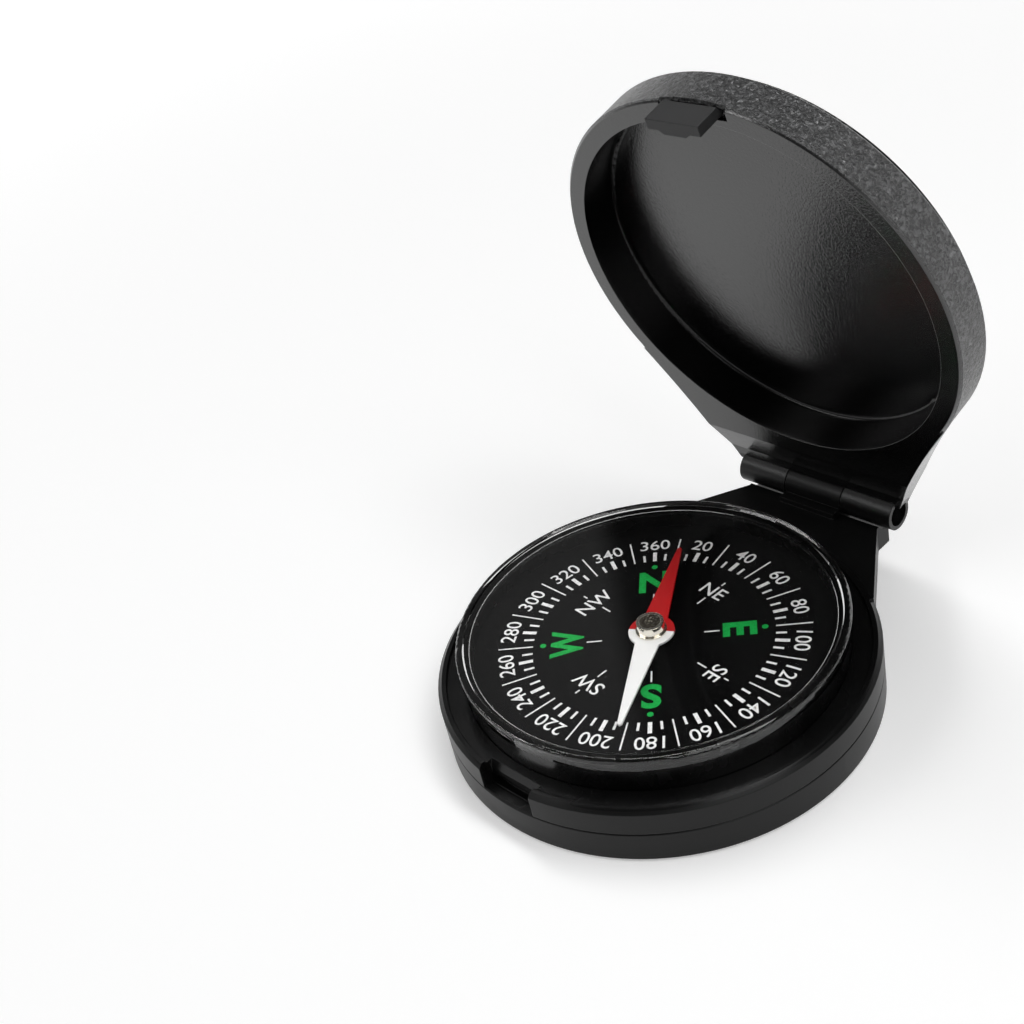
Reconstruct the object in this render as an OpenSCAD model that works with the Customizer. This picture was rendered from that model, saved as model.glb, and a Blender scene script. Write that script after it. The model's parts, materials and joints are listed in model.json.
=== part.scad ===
// Folding pocket compass: a round base that carries a raised compass capsule, and a
// deep lid on a three-knuckle hinge. The origin is the centre of the underside, +Z is
// up, the hinge lies towards +Y and the latch towards -Y. The lid stands open.
// All lengths are in millimetres and all angles in degrees.

/* [Case] */
// Outer diameter of the base and of the lid
case_d = 48; // [46.5:0.5:54]
// Height of the base from its underside to its rim
base_h = 7; // [6.6:0.1:8.4]
// Height of the parting line between bottom cover and base case
seam_z = 3.8; // [3.4:0.1:4.2]
// Thickness of the outer walls of the base
wall_t = 1.8; // [1.2:0.1:1.9]
// Bevel along the outer edge of the base's rim
rim_bevel = 0.5; // [0.2:0.1:0.8]
// Width of the raised rim inside its bevel
rim_w = 0.5; // [0.3:0.1:0.9]
// Depth of the ledge below the rim
ledge_drop = 0.4; // [0.2:0.1:0.6]
// Thickness of the bottom cover's floor
floor_t = 1.2; // [0.8:0.1:1.6]
// Bevel along the lower edge of the bottom cover
foot_bevel = 0.4; // [0.2:0.1:0.8]
// Depth of the fine groove along the parting line
seam_groove = 0.12; // [0.05:0.01:0.2]
// Height of the spigot ring that centres the bottom cover
spigot_h = 1.4; // [0.8:0.1:2]
// Thickness of the spigot ring
spigot_t = 0.6; // [0.4:0.1:0.7]

/* [Capsule] */
// Inset of the capsule cup from the case's outer wall
cup_inset = 3.2; // [3.1:0.1:3.8]
// Thickness of the capsule cup's wall
cup_t = 0.7; // [0.6:0.05:0.9]
// Thickness of the cup's floor
cup_floor_t = 1; // [0.6:0.1:1.4]
// Thickness of the flange that the base case traps
flange_t = 0.8; // [0.5:0.1:1]
// Height of the trapped flange's top above the parting line
flange_rise = 0.4; // [0.2:0.1:0.8]
// Height of the dial's face above the base's rim
dial_rise = 0.9; // [0.6:0.05:1.3]
// Thickness of the dial card
dial_t = 0.3; // [0.2:0.05:0.5]
// Thickness of the spacer ring's wall
spacer_t = 0.35; // [0.25:0.05:0.6]
// Height of the crystal's rim
crystal_h = 1.4; // [1.2:0.1:1.6]
// Thickness of the crystal's window
crystal_t = 0.7; // [0.6:0.05:0.8]
// Overhang of the crystal past the cup
crystal_over = 0.35; // [0.1:0.05:0.4]
// Radius of the crystal's upper edge
crystal_edge = 0.35; // [0.2:0.05:0.5]
// Radius between the crystal's rim and the underside of its window
crystal_fillet = 0.15; // [0.1:0.05:0.4]
// Width of the raised bead along the crystal's edge
crystal_bead_w = 0.8; // [0.6:0.05:1.2]
// Height of the raised bead above the crystal's window
crystal_bead_h = 0.15; // [0.05:0.05:0.2]

/* [Needle] */
// Length of the needle from tip to tip
needle_len = 28.8; // [24:0.2:34]
// Width of each blade where it leaves the needle's hub disc
needle_w = 3; // [2:0.1:4]
// Width of the blunt needle tips
needle_tip_w = 0.5; // [0.3:0.1:1]
// Diameter of the needle's hub disc
needle_disc_d = 5; // [4.4:0.1:6]
// Thickness of the needle
needle_t = 0.25; // [0.15:0.05:0.35]
// Height of the needle above the dial's face
needle_rise = 0.65; // [0.6:0.05:1]
// Direction of the needle's red tip, counted from +X
needle_dir = 117; // [0:0.1:360]
// Diameter of the hub's cap
hub_cap_d = 3; // [2.6:0.1:3.6]
// Height of the hub's cap above its collar
hub_cap_h = 1.05; // [1:0.05:1.5]
// Diameter of the hub's collar
hub_collar_d = 3.4; // [3.1:0.1:4.2]
// Thickness of the hub's collar
hub_collar_t = 0.2; // [0.15:0.05:0.4]
// Diameter of the jewel bearing
jewel_d = 1.6; // [1.3:0.1:1.9]
// Thickness of the jewel bearing
jewel_t = 0.8; // [0.6:0.05:0.9]
// Diameter of the pivot post
post_d = 1.4; // [1:0.1:1.6]
// Diameter of the pivot pin
pivot_d = 0.5; // [0.4:0.05:0.6]

/* [Hinge] */
// Distance of the hinge axis from the case's outer wall
hinge_reach = 7; // [6.5:0.5:12]
// Height of the hinge axis above the base's rim
hinge_rise = 1.2; // [1:0.1:1.6]
// Outer diameter of the hinge barrel
barrel_d = 3.9; // [3.6:0.1:4.4]
// Length of the hinge barrel
barrel_len = 21; // [18:0.5:26]
// Length of the base's middle knuckle
mid_len = 7.6; // [6:0.1:9]
// Diameter of the hinge pin
pin_d = 2; // [1.5:0.1:2.2]
// Diameter of the open mouths at the barrel's ends
mouth_d = 2.9; // [2.5:0.1:3.1]
// Depth of the open mouths at the barrel's ends
mouth_depth = 1.5; // [0.8:0.1:2.5]
// Lead of the middle knuckle's step in front of the barrel
step_lead = 1.2; // [0.8:0.1:1.6]
// Width of the base's hinge tab at its back edge
base_tab_w = 18; // [13:0.5:18]
// Width of the base's hinge tab where it leaves the round wall
base_tab_root_w = 31; // [28:0.5:34]

/* [Lid] */
// Opening angle of the lid as the compass stands, 0 is closed
lid_open = 76.5; // [60:0.5:100]
// Height of the lid's wall
lid_wall_h = 5; // [4.9:0.1:6]
// Height of the raised top above the lid's wall
lid_top_rise = 1; // [0.7:0.1:1.4]
// Inset of the raised top from the lid's wall
lid_top_inset = 1.1; // [0.8:0.1:1.6]
// Thickness of the lid's wall
lid_wall_t = 2.2; // [2:0.1:2.4]
// Depth of the lid's cavity
cavity_depth = 5; // [4.9:0.05:5.2]
// Radius between the cavity's wall and its floor
cavity_fillet = 0.5; // [0.3:0.1:1.1]
// Bevel along the outer edge of the lid's rim
lid_bevel = 0.3; // [0.1:0.05:0.5]
// Height of the neck's inner face at the barrel, below the hinge axis
neck_drop = 0.3; // [0.1:0.05:0.4]
// Radius of the lid's concave flanks between its round wall and the barrel
flank_r = 100; // [20:5:150]

/* [Latch] */
// Width of the latch tab
latch_w = 6.4; // [5:0.1:8]
// Thickness of the latch tab's block
latch_t = 1.15; // [1:0.05:1.2]
// Length of the latch tab past the lid's rim
latch_len = 3; // [2.6:0.05:3.1]
// Inset of the latch tab's flat face from the lid's wall
latch_inset = 0.2; // [0.1:0.05:0.25]
// Thickness of the latch tab's springy stem
stem_t = 0.4; // [0.3:0.05:0.5]
// Diameter of the bead at the root of the stem
bead_d = 0.9; // [0.8:0.05:1]
// Height of the bead's middle above the lid's rim
bead_rise = 1; // [0.95:0.05:1.2]
// Width of the catch nub on the latch tab
nub_w = 3.8; // [2:0.1:4.8]
// Height of the catch nub
nub_h = 0.6; // [0.4:0.05:0.7]
// Reach of the catch nub towards the capsule
nub_reach = 0.4; // [0.2:0.05:0.45]
// Depth of the groove under the catch
catch_depth = 0.35; // [0.2:0.05:0.4]
// Width of the thumb recess in the lid's wall
thumb_w = 8; // [7:0.1:9]
// Height of the thumb recess in the lid's wall
thumb_h = 0.5; // [0.3:0.05:0.5]
// Clearance between the latch tab and the sides of its notch
notch_gap = 0.3; // [0.2:0.05:0.5]

/* [Fits] */
// Gap between pieces that are pressed or glued together
seat_gap = 0.05; // [0.02:0.01:0.08]
// Radial clearance of the hinge pin in the middle knuckle
run_gap = 0.04; // [0.02:0.01:0.08]
// Gap between the closed lid and the rim of the base
close_gap = 0.1; // [0.05:0.05:0.2]
// Gap between the hinge's turning pieces
turn_gap = 0.25; // [0.15:0.05:0.3]
// End gap between neighbouring knuckles
knuckle_gap = 0.12; // [0.05:0.01:0.2]
// Gap between the pivot pin's point and the jewel
point_gap = 0.03; // [0.02:0.01:0.05]
// Gap between the hub's cap and the crystal's window
window_gap = 0.1; // [0.05:0.05:0.3]

/* [Hidden] */
$fn = 96;

// Overrun of every cut past the face it opens
over = 1;

case_r = case_d / 2;
cup_r = case_r - cup_inset;
cup_in_r = cup_r - cup_t;
ledge_z = base_h - ledge_drop;
lip_r = case_r - rim_bevel - rim_w;
shoulder_z = seam_z + flange_rise;
spigot_r = case_r - wall_t - seat_gap;
flange_r = spigot_r - spigot_t - seat_gap;
flange_z = shoulder_z - flange_t;

dial_z = base_h + dial_rise;
cup_floor_z = dial_z - dial_t;
needle_z = dial_z + needle_rise;
collar_z = needle_z + needle_t;
hub_z = collar_z + hub_collar_t;
hub_top_z = hub_z + hub_cap_h;
window_z = hub_top_z + window_gap;
crystal_r = cup_r + crystal_over;
crystal_z = window_z + crystal_t + crystal_bead_h;
cup_top_z = crystal_z - crystal_h;

// The support ring that the bottom cover raises under the capsule's flange
support_w_share = 1.5;
support_r = cup_r;
support_in_r = cup_r - support_w_share * cup_t;

// The boss under the capsule cup that holds the pivot post
boss_wall_share = 1.3;
boss_d = post_d + 2 * boss_wall_share * cup_t;
boss_h = cup_floor_t;

jewel_roof_share = 0.25;
jewel_top_z = hub_top_z - jewel_roof_share * hub_cap_h;
jewel_z = jewel_top_z - jewel_t;
jewel_cone_share = 0.6;
jewel_cone_d = jewel_cone_share * jewel_d;
jewel_cone_h = jewel_cone_share * jewel_t;
post_top_z = (dial_z + needle_z) / 2;
point_z = jewel_z + jewel_cone_h - point_gap;
point_share = 1.6;
point_h = point_share * pivot_d;

hinge_y = case_r + hinge_reach;
hinge_z = base_h + hinge_rise;
barrel_r = barrel_d / 2;
pin_len = barrel_len - 2 * mouth_depth;
plate_end_y = hinge_y - barrel_r - turn_gap;

step_y = hinge_y - barrel_r - step_lead;
neck_z = hinge_z - neck_drop;
step_z = neck_z - turn_gap;
tab_root_x = base_tab_root_w / 2;
tab_root_y = sqrt(case_r * case_r - tab_root_x * tab_root_x);

function mirrored(points) = [for (i = [len(points) - 1 : -1 : 0]) [-points[i][0], points[i][1]]];

rim_z = base_h + close_gap;
lid_top_z = rim_z + lid_wall_h + lid_top_rise;
top_r = case_r - lid_top_inset;
cavity_r = case_r - lid_wall_t;
top_bevel_share = 0.25;
top_bevel = top_bevel_share * lid_top_rise;
shoulder_bevel_share = 0.4;
shoulder_bevel = shoulder_bevel_share * lid_top_inset;

latch_out_y = -(case_r - latch_inset);
latch_in_y = latch_out_y + latch_t;
latch_tip_z = rim_z - latch_len;
bead_r = bead_d / 2;
bead_share = 0.78;
bead_y = latch_out_y + bead_share * latch_t;
bead_z = rim_z + bead_rise;
stem_slot_share = 1.5;
stem_foot_z = rim_z + thumb_h / 2;
nub_y = latch_in_y + nub_reach;
nub_top_share = 0.7;
notch_w = latch_w + 2 * notch_gap;
catch_y = nub_y + seat_gap;
groove_y = catch_y + catch_depth;
catch_z = latch_tip_z + nub_h + close_gap;
groove_z = latch_tip_z - close_gap;
catch_sill_share = 0.4;

// Moves what is drawn closed to the lid's open pose
module lid_pose() {
    translate([0, hinge_y, hinge_z])
        rotate([-lid_open, 0, 0])
            translate([0, -hinge_y, -hinge_z])
                children();
}

// A cylinder along X whose middle lies on the hinge axis
module hinge_rod(d, length) {
    translate([-length / 2, hinge_y, hinge_z])
        rotate([0, 90, 0])
            cylinder(d = d, h = length);
}

// Both ends of the barrel outside the middle knuckle
module outer_knuckles(d, length, mid) {
    difference() {
        hinge_rod(d, length);
        hinge_rod(d + over, mid);
    }
}

// The base's hinge tab, a plate level with the rim that runs under the barrel
module base_tab() {
    half_w = base_tab_w / 2;
    side = [[tab_root_x, tab_root_y], [half_w, plate_end_y], [half_w, hinge_y]];
    difference() {
        translate([0, 0, seam_z])
            linear_extrude(base_h - seam_z)
                polygon(concat([[0, 0]], side, mirrored(side)));
        hinge_rod(barrel_d + 2 * turn_gap, barrel_len);
    }
}

// Centre of the circle of radius arc_r that touches the disc of radius r and meets the point end
function flank_centre(r, arc_r, end) =
    let (
        far = r + arc_r,
        reach = norm(end),
        turn = acos((far * far + reach * reach - arc_r * arc_r) / (2 * far * reach)),
        heading = atan2(end[1], end[0]) - turn
    )
    far * [cos(heading), sin(heading)];

// Outline of the lid's neck, from the round lid along concave flanks to the point end
module neck_outline(r, arc_r, end) {
    centre = flank_centre(r, arc_r, end);
    touch_share = r / (r + arc_r);
    side = [touch_share * centre, centre, end];
    difference() {
        polygon(concat([[0, 0]], side, mirrored(side)));
        for (turn = [-1, 1])
            translate([turn * centre[0], centre[1]])
                circle(r = arc_r);
    }
}

// The ring of the base case, with ledge, rim, bevel and spigot
module base_ring() {
    bore_r = cup_r + seat_gap;
    spigot_in_r = spigot_r - spigot_t;
    rotate_extrude()
        polygon([
            [bore_r, shoulder_z],
            [bore_r, ledge_z],
            [lip_r, ledge_z],
            [lip_r, base_h],
            [case_r - rim_bevel, base_h],
            [case_r, base_h - rim_bevel],
            [case_r, seam_z + seam_groove],
            [case_r - seam_groove, seam_z],
            [spigot_r, seam_z],
            [spigot_r, seam_z - spigot_h],
            [spigot_in_r, seam_z - spigot_h],
            [spigot_in_r, shoulder_z]
        ]);
}

// The step that carries the middle knuckle on the base's hinge tab
module knuckle_step() {
    translate([-mid_len / 2, step_y, seam_z])
        cube([mid_len, hinge_y - step_y, step_z - seam_z]);
}

// The notch that takes the latch tab, with a sloped lip and the catch groove under it
module latch_notch() {
    sill_y = catch_y - catch_sill_share * latch_t;
    translate([-notch_w / 2, 0, 0])
        rotate([90, 0, 90])
            linear_extrude(notch_w)
                polygon([
                    [-case_r - over, seam_z - seat_gap],
                    [-case_r - over, base_h + over],
                    [groove_y, base_h + over],
                    [groove_y, ledge_z],
                    [catch_y, (ledge_z + catch_z) / 2],
                    [catch_y, catch_z],
                    [groove_y, catch_z],
                    [groove_y, groove_z],
                    [sill_y, groove_z],
                    [sill_y, seam_z - seat_gap]
                ]);
}

module base_case() {
    color([0.09, 0.09, 0.1])
        difference() {
            union() {
                difference() {
                    union() {
                        base_ring();
                        base_tab();
                    }
                    translate([0, 0, ledge_z])
                        cylinder(r = lip_r, h = ledge_drop + over);
                    translate([0, 0, shoulder_z - over])
                        cylinder(r = cup_r + seat_gap, h = base_h);
                    translate([0, 0, seam_z - spigot_h - over])
                        cylinder(r = spigot_r - spigot_t, h = shoulder_z - seam_z + spigot_h + over);
                }
                knuckle_step();
                hinge_rod(barrel_d, mid_len);
            }
            hinge_rod(pin_d + 2 * run_gap, mid_len + 2 * over);
            latch_notch();
        }
}

module bottom_cover() {
    inner_r = case_r - wall_t;
    color([0.1, 0.1, 0.11])
        rotate_extrude()
            polygon([
                [0, 0],
                [case_r - foot_bevel, 0],
                [case_r, foot_bevel],
                [case_r, seam_z - seam_groove],
                [case_r - seam_groove, seam_z],
                [inner_r, seam_z],
                [inner_r, floor_t],
                [support_r, floor_t],
                [support_r, flange_z],
                [support_in_r, flange_z],
                [support_in_r, floor_t],
                [0, floor_t]
            ]);
}

module capsule_cup() {
    floor_z = cup_floor_z - cup_floor_t;
    color([0.03, 0.03, 0.03])
        difference() {
            union() {
                rotate_extrude()
                    polygon([
                        [0, floor_z],
                        [cup_in_r, floor_z],
                        [cup_in_r, flange_z],
                        [flange_r, flange_z],
                        [flange_r, shoulder_z],
                        [cup_r, shoulder_z],
                        [cup_r, cup_top_z],
                        [cup_in_r, cup_top_z],
                        [cup_in_r, cup_floor_z],
                        [0, cup_floor_z]
                    ]);
                translate([0, 0, floor_z - boss_h])
                    cylinder(d = boss_d, h = boss_h + cup_floor_t / 2);
            }
            translate([0, 0, floor_z - boss_h - over])
                cylinder(d = post_d, h = boss_h + cup_floor_t + 2 * over);
        }
}

module dial_card() {
    color([0.02, 0.02, 0.02])
        translate([0, 0, cup_floor_z])
            difference() {
                cylinder(r = cup_in_r - seat_gap, h = dial_t);
                translate([0, 0, -over])
                    cylinder(d = post_d + 2 * seat_gap, h = dial_t + 2 * over);
            }
}

// The black ring that holds the dial card down under the crystal
module spacer_ring() {
    outer_r = cup_in_r - seat_gap;
    color([0.04, 0.04, 0.04])
        translate([0, 0, dial_z])
            difference() {
                cylinder(r = outer_r, h = cup_top_z - dial_z);
                translate([0, 0, -over])
                    cylinder(r = outer_r - spacer_t, h = cup_top_z - dial_z + 2 * over);
            }
}

// The clear cap, a window with a thick rim that seats on cup and spacer ring
module crystal() {
    rim_in_r = cup_in_r - spacer_t;
    fillet_r = rim_in_r - crystal_fillet;
    fillet_z = window_z - crystal_fillet;
    bead_in_r = crystal_r - crystal_bead_w;
    window_top_z = crystal_z - crystal_bead_h;
    color([0.85, 0.9, 0.92, 0.35])
        rotate_extrude()
            difference() {
                union() {
                    translate([0, cup_top_z])
                        square([crystal_r, crystal_h - crystal_edge]);
                    translate([0, cup_top_z])
                        square([crystal_r - crystal_edge, crystal_h]);
                    translate([crystal_r - crystal_edge, crystal_z - crystal_edge])
                        circle(r = crystal_edge);
                }
                translate([-over, cup_top_z - over])
                    square([rim_in_r + over, fillet_z - cup_top_z + over]);
                translate([-over, cup_top_z - over])
                    square([fillet_r + over, window_z - cup_top_z + over]);
                translate([fillet_r, fillet_z])
                    circle(r = crystal_fillet);
                polygon([
                    [-over, window_top_z],
                    [bead_in_r - crystal_bead_h, window_top_z],
                    [bead_in_r + over, crystal_z + over],
                    [-over, crystal_z + over]
                ]);
            }
}

module pivot_post() {
    base_z = cup_floor_z - cup_floor_t - boss_h;
    bore_d = pivot_d + 2 * run_gap;
    color([0.72, 0.58, 0.3])
        translate([0, 0, base_z])
            difference() {
                cylinder(d = post_d, h = post_top_z - base_z);
                translate([0, 0, boss_h])
                    cylinder(d = bore_d, h = post_top_z - base_z);
            }
}

module pivot_pin() {
    pin_z = cup_floor_z - cup_floor_t;
    color([0.6, 0.6, 0.62]) {
        translate([0, 0, pin_z])
            rotate_extrude()
                polygon([
                    [0, 0],
                    [pivot_d / 2, 0],
                    [pivot_d / 2, point_z - point_h - pin_z],
                    [0, point_z - pin_z]
                ]);
    }
}

// Outline of the needle, tapered from the hub disc to both blunt tips along X
module needle_outline() {
    cut_x = needle_len / 2 - needle_tip_w / 2;
    half = [
        [cut_x, -needle_tip_w / 2],
        [needle_len / 2, 0],
        [cut_x, needle_tip_w / 2],
        [0, needle_w / 2]
    ];
    polygon(concat(half, [for (p = half) -p]));
}

module needle_blade() {
    color([0.7, 0.05, 0.05])
        translate([0, 0, needle_z])
            rotate([0, 0, needle_dir])
                difference() {
                    union() {
                        cylinder(d = needle_disc_d, h = needle_t);
                        linear_extrude(needle_t)
                            needle_outline();
                    }
                    translate([0, 0, -over])
                        cylinder(d = jewel_d, h = needle_t + 2 * over);
                }
}

module hub_collar() {
    color([0.75, 0.72, 0.66])
        translate([0, 0, collar_z])
            difference() {
                cylinder(d = hub_collar_d, h = hub_collar_t);
                translate([0, 0, -over])
                    cylinder(d = jewel_d, h = hub_collar_t + 2 * over);
            }
}

module hub_cap() {
    color([0.6, 0.57, 0.5])
        translate([0, 0, hub_z])
            difference() {
                cylinder(d = hub_cap_d, h = hub_cap_h);
                translate([0, 0, -over])
                    cylinder(d = jewel_d, h = jewel_top_z - hub_z + over);
            }
}

// The jewel, a disc with the conical cup that rides on the pivot pin's point
module jewel_bearing() {
    color([0.5, 0.1, 0.15])
        rotate_extrude()
            polygon([
                [0, jewel_z + jewel_cone_h],
                [jewel_cone_d / 2, jewel_z],
                [jewel_d / 2, jewel_z],
                [jewel_d / 2, jewel_top_z],
                [0, jewel_top_z]
            ]);
}

// The lid's round body, with bevelled rim, shoulder and raised top
module lid_disc() {
    wall_top_z = rim_z + lid_wall_h;
    rotate_extrude()
        polygon([
            [0, rim_z],
            [case_r - lid_bevel, rim_z],
            [case_r, rim_z + lid_bevel],
            [case_r, wall_top_z - shoulder_bevel],
            [case_r - shoulder_bevel, wall_top_z],
            [top_r, wall_top_z],
            [top_r, lid_top_z - top_bevel],
            [top_r - top_bevel, lid_top_z],
            [0, lid_top_z]
        ]);
}

// The lid's cavity, a flat-bottomed bowl with a rounded floor edge
module lid_cavity() {
    floor_z = rim_z + cavity_depth;
    rotate_extrude()
        union() {
            translate([0, rim_z - over])
                square([cavity_r, cavity_depth - cavity_fillet + over]);
            translate([0, rim_z - over])
                square([cavity_r - cavity_fillet, cavity_depth + over]);
            translate([cavity_r - cavity_fillet, floor_z - cavity_fillet])
                circle(r = cavity_fillet);
        }
}

// The lid's neck, whose outer face slopes to the barrel's top and inner face to neck_z
module lid_neck() {
    end = [barrel_len / 2, hinge_y];
    inset = [lid_top_inset, 0];
    intersection() {
        translate([0, 0, rim_z])
            union() {
                linear_extrude(lid_wall_h)
                    neck_outline(case_r, flank_r, end);
                linear_extrude(lid_wall_h + lid_top_rise)
                    neck_outline(top_r, flank_r + lid_top_inset, end - inset);
            }
        translate([-case_r, 0, 0])
            rotate([90, 0, 90])
                linear_extrude(case_d)
                    polygon([
                        [0, rim_z],
                        [case_r, rim_z],
                        [step_y - turn_gap, neck_z],
                        [hinge_y, neck_z],
                        [hinge_y, hinge_z + barrel_r],
                        [case_r, lid_top_z],
                        [0, lid_top_z]
                    ]);
    }
}

// The room in the lid's rim for the latch tab's bead and stem, with the thumb recess
module latch_room() {
    bead_room_w = latch_w + 2 * seat_gap;
    slot_t = stem_slot_share * stem_t;
    translate([-bead_room_w / 2, bead_y, bead_z])
        rotate([0, 90, 0])
            cylinder(r = bead_r + seat_gap, h = bead_room_w);
    translate([-bead_room_w / 2, bead_y - slot_t / 2, rim_z - over])
        cube([bead_room_w, slot_t, bead_z - rim_z + over]);
    translate([-thumb_w / 2, -case_r - over, rim_z - over])
        cube([thumb_w, latch_in_y + case_r + over + notch_gap, thumb_h + over]);
}

module lid_shell() {
    color([0.12, 0.12, 0.13])
        lid_pose()
            difference() {
                union() {
                    difference() {
                        union() {
                            lid_disc();
                            lid_neck();
                        }
                        hinge_rod(barrel_d + 2 * turn_gap, mid_len + 2 * knuckle_gap);
                    }
                    outer_knuckles(barrel_d, barrel_len, mid_len + 2 * knuckle_gap);
                }
                lid_cavity();
                latch_room();
                hinge_rod(pin_d, barrel_len + 2 * over);
                outer_knuckles(mouth_d, barrel_len + 2 * over, pin_len);
            }
}

// The latch tab, a springy stem with a bead at its root and a block with the catch nub
module latch_tab() {
    color([0.11, 0.11, 0.12])
        lid_pose() {
            translate([-latch_w / 2, bead_y, bead_z])
                rotate([0, 90, 0])
                    cylinder(r = bead_r, h = latch_w);
            translate([-latch_w / 2, 0, 0])
                rotate([90, 0, 90])
                    linear_extrude(latch_w)
                        polygon([
                            [latch_out_y, latch_tip_z],
                            [latch_in_y, latch_tip_z],
                            [latch_in_y, rim_z],
                            [bead_y + stem_t / 2, stem_foot_z],
                            [bead_y + stem_t / 2, bead_z],
                            [bead_y - stem_t / 2, bead_z],
                            [bead_y - stem_t / 2, stem_foot_z],
                            [latch_out_y, rim_z]
                        ]);
            translate([0, 0, latch_tip_z])
                linear_extrude(nub_h)
                    polygon([
                        [-nub_w / 2, latch_out_y + latch_t / 2],
                        [nub_w / 2, latch_out_y + latch_t / 2],
                        [nub_w / 2, latch_in_y],
                        [nub_top_share * nub_w / 2, nub_y],
                        [-nub_top_share * nub_w / 2, nub_y],
                        [-nub_w / 2, latch_in_y]
                    ]);
        }
}

module hinge_pin() {
    color([0.65, 0.65, 0.67])
        lid_pose()
            hinge_rod(pin_d, pin_len);
}

base_case();
bottom_cover();
capsule_cup();
dial_card();
spacer_ring();
crystal();
pivot_post();
pivot_pin();
needle_blade();
hub_collar();
hub_cap();
jewel_bearing();
lid_shell();
latch_tab();
hinge_pin();
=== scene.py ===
import json
import math

import bpy
from mathutils import Matrix, Vector


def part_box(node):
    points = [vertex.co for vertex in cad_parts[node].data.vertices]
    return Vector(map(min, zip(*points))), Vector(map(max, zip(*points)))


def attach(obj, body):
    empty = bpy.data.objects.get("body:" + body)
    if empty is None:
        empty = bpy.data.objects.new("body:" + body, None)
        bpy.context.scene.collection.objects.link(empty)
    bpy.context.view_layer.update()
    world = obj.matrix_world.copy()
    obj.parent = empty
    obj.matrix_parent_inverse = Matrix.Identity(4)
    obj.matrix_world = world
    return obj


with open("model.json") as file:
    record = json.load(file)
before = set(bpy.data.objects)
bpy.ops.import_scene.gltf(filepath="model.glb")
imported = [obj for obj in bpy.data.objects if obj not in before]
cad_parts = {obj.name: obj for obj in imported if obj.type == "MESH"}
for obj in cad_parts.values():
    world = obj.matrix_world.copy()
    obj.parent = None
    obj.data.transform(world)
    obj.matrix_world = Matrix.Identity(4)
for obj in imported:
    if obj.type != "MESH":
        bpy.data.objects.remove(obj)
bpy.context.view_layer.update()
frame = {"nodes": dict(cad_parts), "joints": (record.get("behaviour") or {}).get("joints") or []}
nodes = frame["nodes"]
joints = {joint["name"]: joint for joint in frame["joints"]}

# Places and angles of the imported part
MM = 0.001
HINGE = Vector(joints["lid_hinge"]["pos_m"])
LID_OPEN = -math.radians(joints["lid_hinge"]["range_deg"][0])
DIAL_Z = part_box("dial_card")[1].z

# Sizes that the materials follow, in millimetres, the lid's with the lid shut
CASE_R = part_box("bottom_cover")[1].x / MM
HUB_CAP_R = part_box("hub_cap")[1].x / MM
BARREL_R = 1.95
CAVITY_R = 21.8
LID_RIM_Z = 7.1
LID_SHOULDER_Z = 12.1

# The cavity's reflections weaken between these distances from the middle, towards the hinge, as painted
# shade
SHADE_START_Y, SHADE_END_Y = 11.0, 18.0

# The photograph's frame and the camera fitted to it
FRAME_PX = 1024
FOCAL_PX = 1500
SENSOR_MM = 36
CAMERA_AZIMUTH = math.radians(47.1)
CAMERA_ELEVATION = math.radians(40.5)
CAMERA_ROLL = math.radians(-10.5)
CAMERA_DISTANCE = 163.1 * MM
AIM = Vector((0, 0, 7 * MM))
AIM_PX = (654.3, 645.2)

# Directions of the dial's north mark and of the needle's red tip, anticlockwise from +X
NORTH = math.radians(129)
NEEDLE = math.radians(117)


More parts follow.
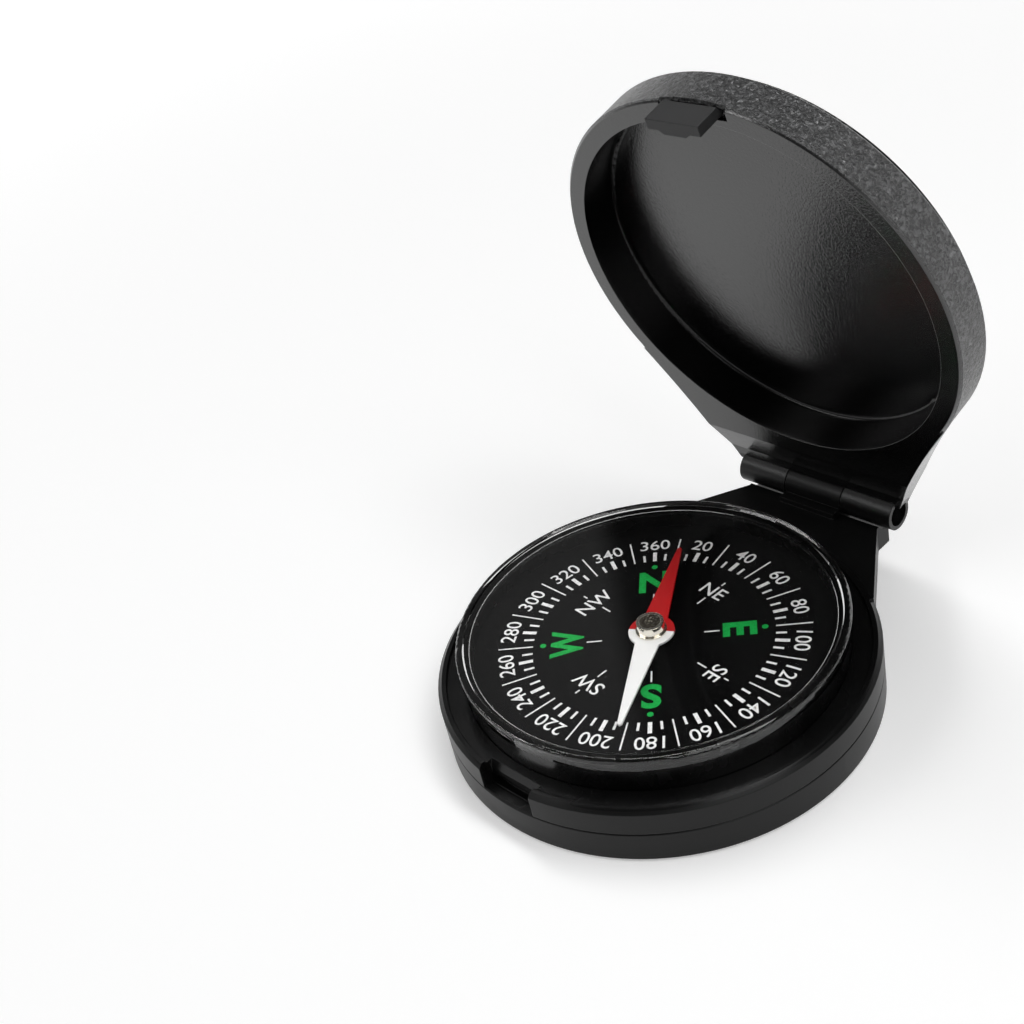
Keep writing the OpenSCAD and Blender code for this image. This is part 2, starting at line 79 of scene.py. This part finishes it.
class Nodes:
    """A material's node tree, with short calls that add and link nodes."""

    def __init__(self, name, world=None):
        self.owner = world or bpy.data.materials.new(name)
        self.owner.use_nodes = True
        self.tree = self.owner.node_tree
        self.shader = self.tree.nodes.get("Principled BSDF")

    def add(self, kind, **settings):
        node = self.tree.nodes.new(kind)
        for key, value in settings.items():
            setattr(node, key, value)
        return node

    def plug(self, socket, value):
        if isinstance(value, bpy.types.NodeSocket):
            self.tree.links.new(value, socket)
        else:
            socket.default_value = value

    def math(self, operation, a, b):
        node = self.add("ShaderNodeMath", operation=operation)
        for socket, value in zip(node.inputs, (a, b)):
            self.plug(socket, value)
        return node.outputs[0]

    def vector(self, operation, a, b=None, scale=None):
        node = self.add("ShaderNodeVectorMath", operation=operation)
        self.plug(node.inputs[0], a)
        if b is not None:
            self.plug(node.inputs[1], b)
        if scale is not None:
            self.plug(node.inputs["Scale"], scale)
        return node.outputs["Value"] if operation in ("LENGTH", "DOT_PRODUCT") else node.outputs[0]

    def ramp(self, value, low, high, to_low=0.0, to_high=1.0):
        """The value mapped smoothly from low to high onto to_low to to_high."""
        node = self.add("ShaderNodeMapRange", interpolation_type="SMOOTHSTEP")
        for socket, item in zip(node.inputs, (value, low, high, to_low, to_high)):
            self.plug(socket, item)
        return node.outputs[0]

    def blend(self, factor, a, b):
        """The colour a where the factor is 0, and b where it is 1."""
        node = self.add("ShaderNodeMix", data_type="RGBA")
        self.plug(node.inputs["Factor"], factor)
        self.plug(node.inputs[6], a)
        self.plug(node.inputs[7], b)
        return node.outputs[2]

    def place_mm(self):
        """The point on the piece, in millimetres in the row frame, which moves with the piece."""
        place = self.add("ShaderNodeTexCoord").outputs["Object"]
        return self.vector("SCALE", place, scale=1 / MM)

    def noise(self, place, per_mm, detail=3.0, roughness=0.55, distortion=0.0):
        node = self.add("ShaderNodeTexNoise")
        self.plug(node.inputs["Vector"], place)
        self.plug(node.inputs["Scale"], per_mm)
        self.plug(node.inputs["Detail"], detail)
        self.plug(node.inputs["Roughness"], roughness)
        self.plug(node.inputs["Distortion"], distortion)
        return node.outputs[0]

    def cells(self, place, per_mm):
        node = self.add("ShaderNodeTexVoronoi", feature="SMOOTH_F1")
        self.plug(node.inputs["Vector"], place)
        self.plug(node.inputs["Scale"], per_mm)
        return node.outputs[0]

    def rounded_edges(self, radius):
        node = self.add("ShaderNodeBevel", samples=6)
        self.plug(node.inputs["Radius"], radius)
        return node.outputs[0]

    def bump(self, height, depth, normal=None, strength=1.0):
        node = self.add("ShaderNodeBump")
        self.plug(node.inputs["Height"], height)
        self.plug(node.inputs["Distance"], depth)
        self.plug(node.inputs["Strength"], strength)
        if normal is not None:
            self.plug(node.inputs["Normal"], normal)
        return node.outputs[0]

    def set(self, **sockets):
        """Values or links of the shader's sockets, whose names have _ for each space."""
        for name, value in sockets.items():
            self.plug(self.shader.inputs[name.replace("_", " ")], value)


def grey(level):
    """A dark grey with a trace of blue."""
    return (level, level * 1.01, level * 1.03, 1.0)


def closed_place(mat):
    """The point on the lid, in millimetres, turned back to where it is when the lid is shut."""
    pivot = HINGE / MM
    place = mat.vector("SUBTRACT", mat.place_mm(), tuple(pivot))
    turn = mat.add("ShaderNodeVectorRotate", rotation_type="X_AXIS")
    mat.plug(turn.inputs["Vector"], place)
    mat.plug(turn.inputs["Angle"], LID_OPEN)
    return mat.vector("ADD", turn.outputs[0], tuple(pivot))


def split(mat, place):
    node = mat.add("ShaderNodeSeparateXYZ")
    mat.plug(node.inputs[0], place)
    return node.outputs


def radius_of(mat, place):
    flat = mat.vector("MULTIPLY", place, (1, 1, 0))
    return mat.vector("LENGTH", flat)


def on_barrel(mat, place):
    """One on the hinge's knuckles, nothing elsewhere."""
    offset = mat.vector("SUBTRACT", place, tuple(HINGE / MM))
    offset = mat.vector("MULTIPLY", offset, (0, 1, 1))
    return mat.ramp(mat.vector("LENGTH", offset), BARREL_R + 0.35, BARREL_R + 0.1)


def case_plastic(name, dark, light, rough, wall_rough):
    """Satin black plastic with a fine texture, duller on the outer wall and the barrel."""
    mat = Nodes(name)
    place = mat.place_mm()
    barrel = on_barrel(mat, place)
    wall = mat.ramp(radius_of(mat, place), CASE_R - 0.4, CASE_R - 0.15)
    wall = mat.math("MAXIMUM", wall, barrel)
    broad = mat.noise(place, 0.12, 2.0)
    fine = mat.noise(place, 9.0, 2.0)
    uneven = mat.math("MULTIPLY", mat.ramp(broad, 0.3, 0.7), 0.06)
    normal = mat.rounded_edges(0.14 * MM)
    normal = mat.bump(fine, 0.004 * MM, normal)
    mat.shader.inputs["Specular IOR Level"].default_value = 0.24
    mat.set(
        Base_Color=mat.blend(broad, grey(dark), grey(light)),
        Roughness=mat.math("ADD", mat.ramp(wall, 0.0, 1.0, rough, wall_rough), uneven),
        Normal=normal,
    )
    return mat.owner


def lid_plastic():
    """Grained on the outer wall, which is painted pale there as painted sheen, and satin elsewhere;
    dull on the barrel, and with reflections weakened in parts of the cavity as painted shade.
    """
    mat = Nodes("lid_plastic")
    place = closed_place(mat)
    radius = radius_of(mat, place)
    _, along, height = split(mat, place)
    past_rim = mat.ramp(height, LID_RIM_Z + 0.1, LID_RIM_Z + 0.4)
    wall_edge = mat.ramp(radius, CASE_R - 0.7, CASE_R - 0.3)
    round_wall = mat.math("MULTIPLY", wall_edge, mat.ramp(radius, CASE_R + 1.6, CASE_R + 0.1))
    below_top = mat.ramp(height, LID_SHOULDER_Z + 0.2, LID_SHOULDER_Z - 0.1)
    on_wall = mat.math("MULTIPLY", round_wall, mat.math("MULTIPLY", past_rim, below_top))
    barrel = on_barrel(mat, place)
    # Painted shade: the cavity's reflections are weakened in its corner and towards the hinge
    cavity = mat.math("MULTIPLY", mat.ramp(radius, CAVITY_R + 0.6, CAVITY_R + 0.1), past_rim)
    corner = mat.ramp(radius, CAVITY_R - 1.0, CAVITY_R - 0.4)
    shaded_part = mat.math("MAXIMUM", corner, mat.ramp(along, SHADE_START_Y, SHADE_END_Y))
    shaded_part = mat.math("MULTIPLY", cavity, shaded_part)
    dull_and_shaded = mat.math("MAXIMUM", shaded_part, mat.math("MULTIPLY", barrel, 0.7))
    tone = mat.noise(place, 1.6, 2.0)
    cells = mat.cells(place, 2.3)
    wrinkles = mat.noise(place, 2.1, roughness=0.6, distortion=1.2)
    wrinkles = mat.ramp(wrinkles, 0.35, 0.65)
    leather = mat.math("MULTIPLY", mat.math("ADD", cells, wrinkles), 0.5)
    satin = mat.noise(place, 3.4, roughness=0.6, distortion=0.6)
    normal = mat.rounded_edges(0.12 * MM)
    normal = mat.bump(satin, 0.027 * MM, normal)
    normal = mat.bump(leather, 0.42 * MM, normal, on_wall)
    satin_tone = mat.blend(tone, grey(0.001), grey(0.002))
    # The grain's tone: its dark crevices are real grain, and its pale level, far above the satin parts,
    # is painted sheen
    grain_and_sheen_tone = mat.blend(mat.ramp(leather, 0.25, 0.75), grey(0.025), grey(0.13))
    rough = mat.ramp(on_wall, 0.0, 1.0, 0.15, 0.28)
    mat.set(
        Base_Color=mat.blend(on_wall, satin_tone, grain_and_sheen_tone),
        Roughness=mat.math("MAXIMUM", rough, mat.math("MULTIPLY", barrel, 0.34)),
        Specular_IOR_Level=mat.ramp(dull_and_shaded, 0.0, 1.0, 0.95, 0.3),
        Normal=normal,
    )
    return mat.owner


def capsule_plastic():
    """Smooth black plastic with a low gloss."""
    mat = Nodes("capsule_plastic")
    place = mat.place_mm()
    tone = mat.noise(place, 0.3, 2.0)
    fine = mat.noise(place, 7.0, 2.0)
    normal = mat.bump(fine, 0.002 * MM, mat.rounded_edges(0.1 * MM))
    mat.set(
        Base_Color=mat.blend(tone, grey(0.001), grey(0.002)),
        Roughness=mat.ramp(tone, 0.3, 0.7, 0.22, 0.30),
        Normal=normal,
    )
    return mat.owner


def card_black():
    """Matt black printed card."""
    mat = Nodes("card_black")
    place = mat.place_mm()
    tone = mat.noise(place, 0.5, 3.0)
    fibre = mat.noise(place, 14.0, 3.0)
    mat.shader.inputs["Specular IOR Level"].default_value = 0.02
    mat.set(
        Base_Color=mat.blend(tone, grey(0.0015), grey(0.003)),
        Roughness=mat.ramp(tone, 0.3, 0.7, 0.7, 0.8),
        Normal=mat.bump(fibre, 0.002 * MM),
    )
    return mat.owner


def print_ink(name, colour, shade):
    """Screen-printed ink whose coverage varies a little."""
    mat = Nodes(name)
    place = mat.place_mm()
    cover = mat.noise(place, 3.0, 3.0)
    fine = mat.noise(place, 16.0, 2.0)
    mat.shader.inputs["Specular IOR Level"].default_value = 0.1
    mat.set(
        Base_Color=mat.blend(mat.ramp(cover, 0.35, 0.6), shade, colour),
        Roughness=mat.ramp(cover, 0.3, 0.7, 0.5, 0.6),
        Normal=mat.bump(fine, 0.002 * MM),
    )
    return mat.owner


def needle_paint():
    """Red on the needle's north half and white on the other, parted at its middle."""
    mat = Nodes("needle_paint")
    place = mat.place_mm()
    along = mat.vector("DOT_PRODUCT", place, (math.cos(NEEDLE), math.sin(NEEDLE), 0))
    red_side = mat.ramp(along, -0.05, 0.05)
    tone = mat.noise(place, 0.8, 3.0)
    fine = mat.noise(place, 9.0, 2.0)
    mat.shader.inputs["Specular IOR Level"].default_value = 0.2
    red = mat.blend(tone, (0.36, 0.001, 0.002, 1), (0.47, 0.002, 0.004, 1))
    white = mat.blend(tone, (0.75, 0.747, 0.742, 1), (0.85, 0.847, 0.842, 1))
    mat.set(
        Base_Color=mat.blend(red_side, white, red),
        Roughness=mat.ramp(tone, 0.3, 0.7, 0.34, 0.44),
        Normal=mat.bump(fine, 0.003 * MM, mat.rounded_edges(0.06 * MM)),
    )
    return mat.owner


def nickel():
    """Nickel plate, bright on the edges; the flat top is rougher and speckled, and painted dark as
    painted shade.
    """
    mat = Nodes("nickel")
    place = mat.place_mm()
    up = split(mat, mat.add("ShaderNodeTexCoord").outputs["Normal"])[2]
    inside = mat.ramp(radius_of(mat, place), HUB_CAP_R - 0.24, HUB_CAP_R - 0.38)
    # The flat top, which is rougher and pitted, and whose colour is painted dark as painted shade
    dull_and_shaded = mat.math("MULTIPLY", mat.ramp(up, 0.9, 0.99), inside)
    specks = mat.noise(place, 5.0, 4.0, 0.7)
    spotted = mat.ramp(specks, 0.52, 0.70)
    # Painted shade: the flat top's colour is a near-black brown, with pale specks
    shaded_top_brown = mat.blend(spotted, (0.025, 0.021, 0.016, 1), (0.5, 0.46, 0.38, 1))
    bright = mat.blend(specks, (0.86, 0.82, 0.73, 1), (0.94, 0.90, 0.81, 1))
    pitted = mat.bump(specks, 0.03 * MM, mat.rounded_edges(0.12 * MM), dull_and_shaded)
    mat.shader.inputs["Metallic"].default_value = 1.0
    mat.set(
        Base_Color=mat.blend(dull_and_shaded, bright, shaded_top_brown),
        Roughness=mat.ramp(dull_and_shaded, 0.0, 1.0, 0.14, 0.42),
        Normal=pitted,
    )
    return mat.owner


def metal(name, dark, light, rough):
    """Drawn or turned metal with fine lines along X."""
    mat = Nodes(name)
    place = mat.place_mm()
    lines = mat.noise(mat.vector("MULTIPLY", place, (0.6, 9.0, 9.0)), 1.0, 3.0)
    mat.shader.inputs["Metallic"].default_value = 1.0
    mat.set(
        Base_Color=mat.blend(lines, dark, light),
        Roughness=mat.ramp(lines, 0.3, 0.7, rough, rough + 0.12),
        Normal=mat.bump(lines, 0.003 * MM, mat.rounded_edges(0.05 * MM)),
    )
    return mat.owner


def clear(name, colour, ior, rough):
    """A clear material that lets lamp light straight through to what lies under it."""
    mat = Nodes(name)
    place = mat.place_mm()
    haze = mat.noise(place, 0.8, 2.0)
    mat.shader.inputs["Base Color"].default_value = colour
    mat.shader.inputs["IOR"].default_value = ior
    mat.shader.inputs["Transmission Weight"].default_value = 1.0
    mat.set(Roughness=mat.ramp(haze, 0.3, 0.7, rough, rough + 0.01))
    straight = mat.add("ShaderNodeBsdfTransparent")
    pick = mat.add("ShaderNodeMixShader")
    path = mat.add("ShaderNodeLightPath")
    mat.plug(pick.inputs[0], path.outputs["Is Shadow Ray"])
    mat.plug(pick.inputs[1], mat.shader.outputs[0])
    mat.plug(pick.inputs[2], straight.outputs[0])
    mat.plug(mat.tree.nodes["Material Output"].inputs["Surface"], pick.outputs[0])
    return mat.owner


def paint_nodes(material, *names):
    for name in names:
        slots = nodes[name].data.materials
        slots.clear()
        slots.append(material)


white_ink = print_ink("white_ink", (0.86, 0.86, 0.86, 1), (0.72, 0.72, 0.72, 1))
green_ink = print_ink("green_ink", (0.006, 0.36, 0.06, 1), (0.004, 0.29, 0.045, 1))
paint_nodes(case_plastic("case_plastic", 0.002, 0.004, 0.22, 0.34), "base_case", "bottom_cover")
# The latch tab is the case's black plastic painted much paler, as painted light on its lit facet
paint_nodes(case_plastic("latch_plastic_painted_light", 0.018, 0.03, 0.36, 0.36), "latch_tab")
paint_nodes(lid_plastic(), "lid_shell")
paint_nodes(capsule_plastic(), "capsule_cup", "spacer_ring")
paint_nodes(card_black(), "dial_card")
paint_nodes(clear("crystal_clear", (0.985, 0.985, 0.98, 1), 1.49, 0.0), "crystal")
paint_nodes(clear("jewel_red", (0.7, 0.08, 0.14, 1), 1.76, 0.02), "jewel_bearing")
paint_nodes(metal("turned_brass", (0.5, 0.34, 0.12, 1), (0.68, 0.5, 0.2, 1), 0.22), "pivot_post")
paint_nodes(
    metal("drawn_steel", (0.42, 0.42, 0.43, 1), (0.6, 0.6, 0.61, 1), 0.25),
    "pivot_pin",
    "hinge_pin",
)
paint_nodes(needle_paint(), "needle_blade")
paint_nodes(nickel(), "hub_collar", "hub_cap")


# The dial's print, in shares of the radius that its outermost lines reach
PRINT_R = 17.0 * MM
PRINT_T = 0.02 * MM
LETTER_LOW_SHARE, LETTER_HIGH_SHARE = 0.442, 0.655
WORD_LOW_SHARE, WORD_HIGH_SHARE = 0.50, 0.605
NUMBER_LOW_SHARE, NUMBER_HIGH_SHARE = 0.893, 0.994
TICK_SHARE = 0.772
MINOR_SHARE, MAJOR_SHARE, LONG_SHARE = 0.839, 0.864, 1.0
MARK_LOW_SHARE, MARK_HIGH_SHARE = 0.325, 0.422
INNER_LOW_SHARE, INNER_HIGH_SHARE = 0.40, 0.475
OUTER_LOW_SHARE, OUTER_HIGH_SHARE = 0.625, 0.66
DOT_SHARE = 0.705

# Widths of its lines, the radius of its dots, and how far its text is emboldened
THIN_LINE, TICK_LINE, NUMBER_LINE = 0.17 * MM, 0.27 * MM, 0.44 * MM
DOT_R = 0.34 * MM
DOT_STEPS = 20
NUMBER_BOLD, WORD_BOLD, LETTER_BOLD = 0.004, 0.006, 0.035
WIDE_LETTER_SQUEEZE = 0.8


class Print:
    """Flat printed shapes on the dial card that become one piece."""

    def __init__(self):
        self.verts = []
        self.faces = []

    def add(self, points, faces):
        start = len(self.verts)
        self.verts += points
        self.faces += [[start + i for i in face] for face in faces]

    def bar(self, bearing, low, high, width):
        """A radial bar at a bearing clockwise from north, its ends in shares of the print's radius."""
        frame_at = dial_frame(bearing)
        low, high, half = low * PRINT_R, high * PRINT_R, width / 2
        flat = [(-half, low), (half, low), (half, high), (-half, high)]
        top = [frame_at @ Vector((x, y, PRINT_T)) for x, y in flat]
        foot = [frame_at @ Vector((x, y, 0)) for x, y in flat]
        sides = [(i, (i + 1) % 4, (i + 1) % 4 + 4, i + 4) for i in range(4)]
        self.add(top + foot, [(0, 1, 2, 3)] + [tuple(reversed(side)) for side in sides])

    def dot(self, bearing, share):
        frame_at = dial_frame(bearing)
        turns = [2 * math.pi * i / DOT_STEPS for i in range(DOT_STEPS)]
        flat = [(DOT_R * math.cos(a), share * PRINT_R + DOT_R * math.sin(a)) for a in turns]
        self.add([frame_at @ Vector((x, y, PRINT_T)) for x, y in flat], [tuple(range(DOT_STEPS))])

    def word(self, text, bearing, low, high, bold, squeeze=1.0):
        """Text whose feet stand at the share low and whose heads reach the share high, outwards."""
        points, faces = glyphs(text, bold)
        low, high = low * PRINT_R, high * PRINT_R
        scale = high - low
        frame_at = dial_frame(bearing)
        placed = [frame_at @ Vector((x * scale * squeeze, low + y * scale, PRINT_T)) for x, y in points]
        self.add(placed, faces)

    def piece(self, name, material):
        mesh = bpy.data.meshes.new(name)
        mesh.from_pydata([tuple(v) for v in self.verts], [], self.faces)
        mesh.materials.append(material)
        mesh.update()
        piece = bpy.data.objects.new(name, mesh)
        bpy.context.scene.collection.objects.link(piece)
        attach(piece, "base")


def dial_frame(bearing):
    """From flat axes, x to the right and y outwards, to the card at a bearing clockwise from north."""
    turn = NORTH - math.radians(bearing) - math.pi / 2
    return Matrix.Translation((0, 0, DIAL_Z)) @ Matrix.Rotation(turn, 4, "Z")


def glyphs(text, bold):
    """Points and faces of a text, centred, with capitals one unit high."""
    curve = bpy.data.curves.new("letters", "FONT")
    curve.body = text
    curve.align_x = "CENTER"
    curve.offset = bold
    curve.resolution_u = 6
    holder = bpy.data.objects.new("letters", curve)
    bpy.context.scene.collection.objects.link(holder)
    mesh = bpy.data.meshes.new_from_object(holder.evaluated_get(bpy.context.evaluated_depsgraph_get()))
    points = [(v.co.x, v.co.y) for v in mesh.vertices]
    faces = [tuple(p.vertices) for p in mesh.polygons]
    bpy.data.objects.remove(holder)
    bpy.data.curves.remove(curve)
    bpy.data.meshes.remove(mesh)
    low = min(y for x, y in points)
    high = max(y for x, y in points)
    left = min(x for x, y in points)
    right = max(x for x, y in points)
    tall = high - low
    return [((x - (left + right) / 2) / tall, (y - low) / tall) for x, y in points], faces


def dial_scale():
    """The outer scale: a number every 20 degrees, a long line between, and ticks every 5."""
    scale = Print()
    for bearing in range(0, 360, 5):
        if bearing % 20 == 10:
            scale.bar(bearing, TICK_SHARE, LONG_SHARE, THIN_LINE)
        elif bearing % 20 == 0:
            scale.bar(bearing, TICK_SHARE, MAJOR_SHARE, NUMBER_LINE)
        else:
            scale.bar(bearing, TICK_SHARE, MINOR_SHARE, TICK_LINE)
    scale.piece("dial_scale", white_ink)


def dial_numbers():
    """Plain degree numbers at the scale's wide lines."""
    numbers = Print()
    for bearing in range(20, 380, 20):
        numbers.word(str(bearing), bearing, NUMBER_LOW_SHARE, NUMBER_HIGH_SHARE, NUMBER_BOLD)
    numbers.piece("dial_numbers", white_ink)


def dial_letters():
    """The compass points: letters with a dot outside and a line inside, and words between lines."""
    letters = Print()
    marks = Print()
    for bearing, letter in ((0, "N"), (90, "E"), (180, "S"), (270, "W")):
        squeeze = WIDE_LETTER_SQUEEZE if letter == "W" else 1.0
        letters.word(letter, bearing, LETTER_LOW_SHARE, LETTER_HIGH_SHARE, LETTER_BOLD, squeeze)
        letters.dot(bearing, DOT_SHARE)
        marks.bar(bearing, MARK_LOW_SHARE, MARK_HIGH_SHARE, THIN_LINE)
    for bearing, word in ((45, "NE"), (135, "SE"), (225, "SW"), (315, "NW")):
        marks.word(word, bearing, WORD_LOW_SHARE, WORD_HIGH_SHARE, WORD_BOLD)
        marks.bar(bearing, INNER_LOW_SHARE, INNER_HIGH_SHARE, THIN_LINE)
        marks.bar(bearing, OUTER_LOW_SHARE, OUTER_HIGH_SHARE, THIN_LINE)
    letters.piece("dial_letters", green_ink)
    marks.piece("dial_marks", white_ink)


dial_scale()
dial_numbers()
dial_letters()


# The studio's sky. Its strength falls from the horizon to the walls, which it reaches at
# WALL_HEIGHT, and between the ceiling's heights to a share of the walls'. The heights are sines of
# the elevation. The dark wall stands towards DARK_WALL_TURN, and its border is a little soft.
HORIZON_LEVEL = 1.0
WALL_LEVEL, DARK_WALL_LEVEL = 0.13, 0.015
CEILING_SHARE = 0.35
WALL_HEIGHT = 0.35
CEILING_LOW, CEILING_HIGH = 0.70, 0.90
DARK_WALL_TURN = math.radians(47)
BORDER, BORDER_SOFTNESS = -0.02, 0.012

# The floor's width in metres, its tone, and the strength of its glow at two distances
FLOOR_WIDTH = 4
FLOOR_TONE = (0.82, 0.82, 0.82, 1)
NEAR, FAR = 0.1, 0.75
NEAR_GLOW, FAR_GLOW = 0.33, 0.94


def stage():
    """A pale floor that shows white, also beyond the lamps' reach, and keeps the object's shadow."""
    bpy.ops.mesh.primitive_plane_add(size=FLOOR_WIDTH, location=(0, 0, 0))
    floor = bpy.context.object
    floor.name = "floor"
    mat = Nodes("floor_white")
    mat.shader.inputs["Base Color"].default_value = FLOOR_TONE
    mat.shader.inputs["Roughness"].default_value = 0.9
    mat.shader.inputs["Specular IOR Level"].default_value = 0.1
    glow = mat.add("ShaderNodeEmission")
    path = mat.add("ShaderNodeLightPath")
    seen = mat.math("MAXIMUM", path.outputs["Is Camera Ray"], path.outputs["Is Glossy Ray"])
    seen = mat.math("MAXIMUM", seen, path.outputs["Is Transmission Ray"])
    away = mat.vector("LENGTH", mat.add("ShaderNodeTexCoord").outputs["Object"])
    strength = mat.ramp(away, NEAR, FAR, NEAR_GLOW, FAR_GLOW)
    mat.plug(glow.inputs["Strength"], mat.math("MULTIPLY", seen, strength))
    both = mat.add("ShaderNodeAddShader")
    mat.plug(both.inputs[0], mat.shader.outputs[0])
    mat.plug(both.inputs[1], glow.outputs[0])
    mat.plug(mat.tree.nodes["Material Output"].inputs["Surface"], both.outputs[0])
    floor.data.materials.append(mat.owner)


def area_light(name, place, target, size, power):
    """A rectangular lamp, in metres and watts, that faces its target."""
    data = bpy.data.lights.new(name, "AREA")
    data.shape = "RECTANGLE"
    data.size, data.size_y = size
    data.energy = power
    lamp = bpy.data.objects.new(name, data)
    bpy.context.scene.collection.objects.link(lamp)
    lamp.location = place
    lamp.rotation_euler = (Vector(target) - Vector(place)).to_track_quat("-Z", "Y").to_euler()


def sky():
    """A pale horizon under a dim wall and a dark one, a dimmer ceiling, and white to the camera."""
    world = bpy.data.worlds.new("studio")
    bpy.context.scene.world = world
    mat = Nodes("studio", world)
    direction = mat.add("ShaderNodeTexCoord").outputs["Generated"]
    height = split(mat, direction)[2]
    facing = (math.cos(DARK_WALL_TURN), math.sin(DARK_WALL_TURN), 0)
    side = mat.vector("DOT_PRODUCT", direction, facing)
    start, end = BORDER - BORDER_SOFTNESS, BORDER + BORDER_SOFTNESS
    wall = mat.ramp(side, start, end, WALL_LEVEL, DARK_WALL_LEVEL)
    low = mat.ramp(height, 0.0, WALL_HEIGHT, HORIZON_LEVEL, wall)
    high = mat.ramp(height, CEILING_LOW, CEILING_HIGH, 1.0, CEILING_SHARE)
    seen = mat.add("ShaderNodeLightPath").outputs["Is Camera Ray"]
    background = mat.tree.nodes["Background"]
    mat.plug(background.inputs["Color"], (1, 1, 1, 1))
    mat.plug(background.inputs["Strength"], mat.math("MAXIMUM", mat.math("MULTIPLY", low, high), seen))


def camera():
    """The photograph's camera, turned so that its aim falls on AIM_PX."""
    az, el, roll = CAMERA_AZIMUTH, CAMERA_ELEVATION, CAMERA_ROLL
    back = Vector((math.sin(az) * math.cos(el), -math.cos(az) * math.cos(el), math.sin(el)))
    level = Vector((math.cos(az), math.sin(az), 0))
    up = back.cross(level)
    right = level * math.cos(roll) + up * math.sin(roll)
    above = up * math.cos(roll) - level * math.sin(roll)
    aimed = Matrix((right, above, -back))
    middle = FRAME_PX / 2
    sight = Vector(((AIM_PX[0] - middle) / FOCAL_PX, (middle - AIM_PX[1]) / FOCAL_PX, 1))
    turned = Vector((0, 0, 1)).rotation_difference(sight.normalized()).to_matrix() @ aimed
    pose = Matrix((turned[0], turned[1], -turned[2])).transposed().to_4x4()
    pose.translation = AIM + back * CAMERA_DISTANCE
    data = bpy.data.cameras.new("camera")
    data.sensor_fit = "HORIZONTAL"
    data.sensor_width = SENSOR_MM
    data.lens = FOCAL_PX / FRAME_PX * data.sensor_width
    data.clip_start = 0.01
    eye = bpy.data.objects.new("camera", data)
    bpy.context.scene.collection.objects.link(eye)
    eye.matrix_world = pose
    bpy.context.scene.camera = eye


stage()
sky()
camera()
area_light("strip", (0.02, 0.17, 0.60), (0.0, 0.0, 0.02), (0.9, 0.14), 2.1)
area_light("key", (0.40, -0.06, 0.50), (0, 0, 0.02), (0.4, 0.4), 1.2)
area_light("glint", (-0.34, -0.31, 0.40), (0, 0.02, 0.03), (0.6, 0.1), 0.8)

bpy.context.scene.view_settings.view_transform = "Standard"
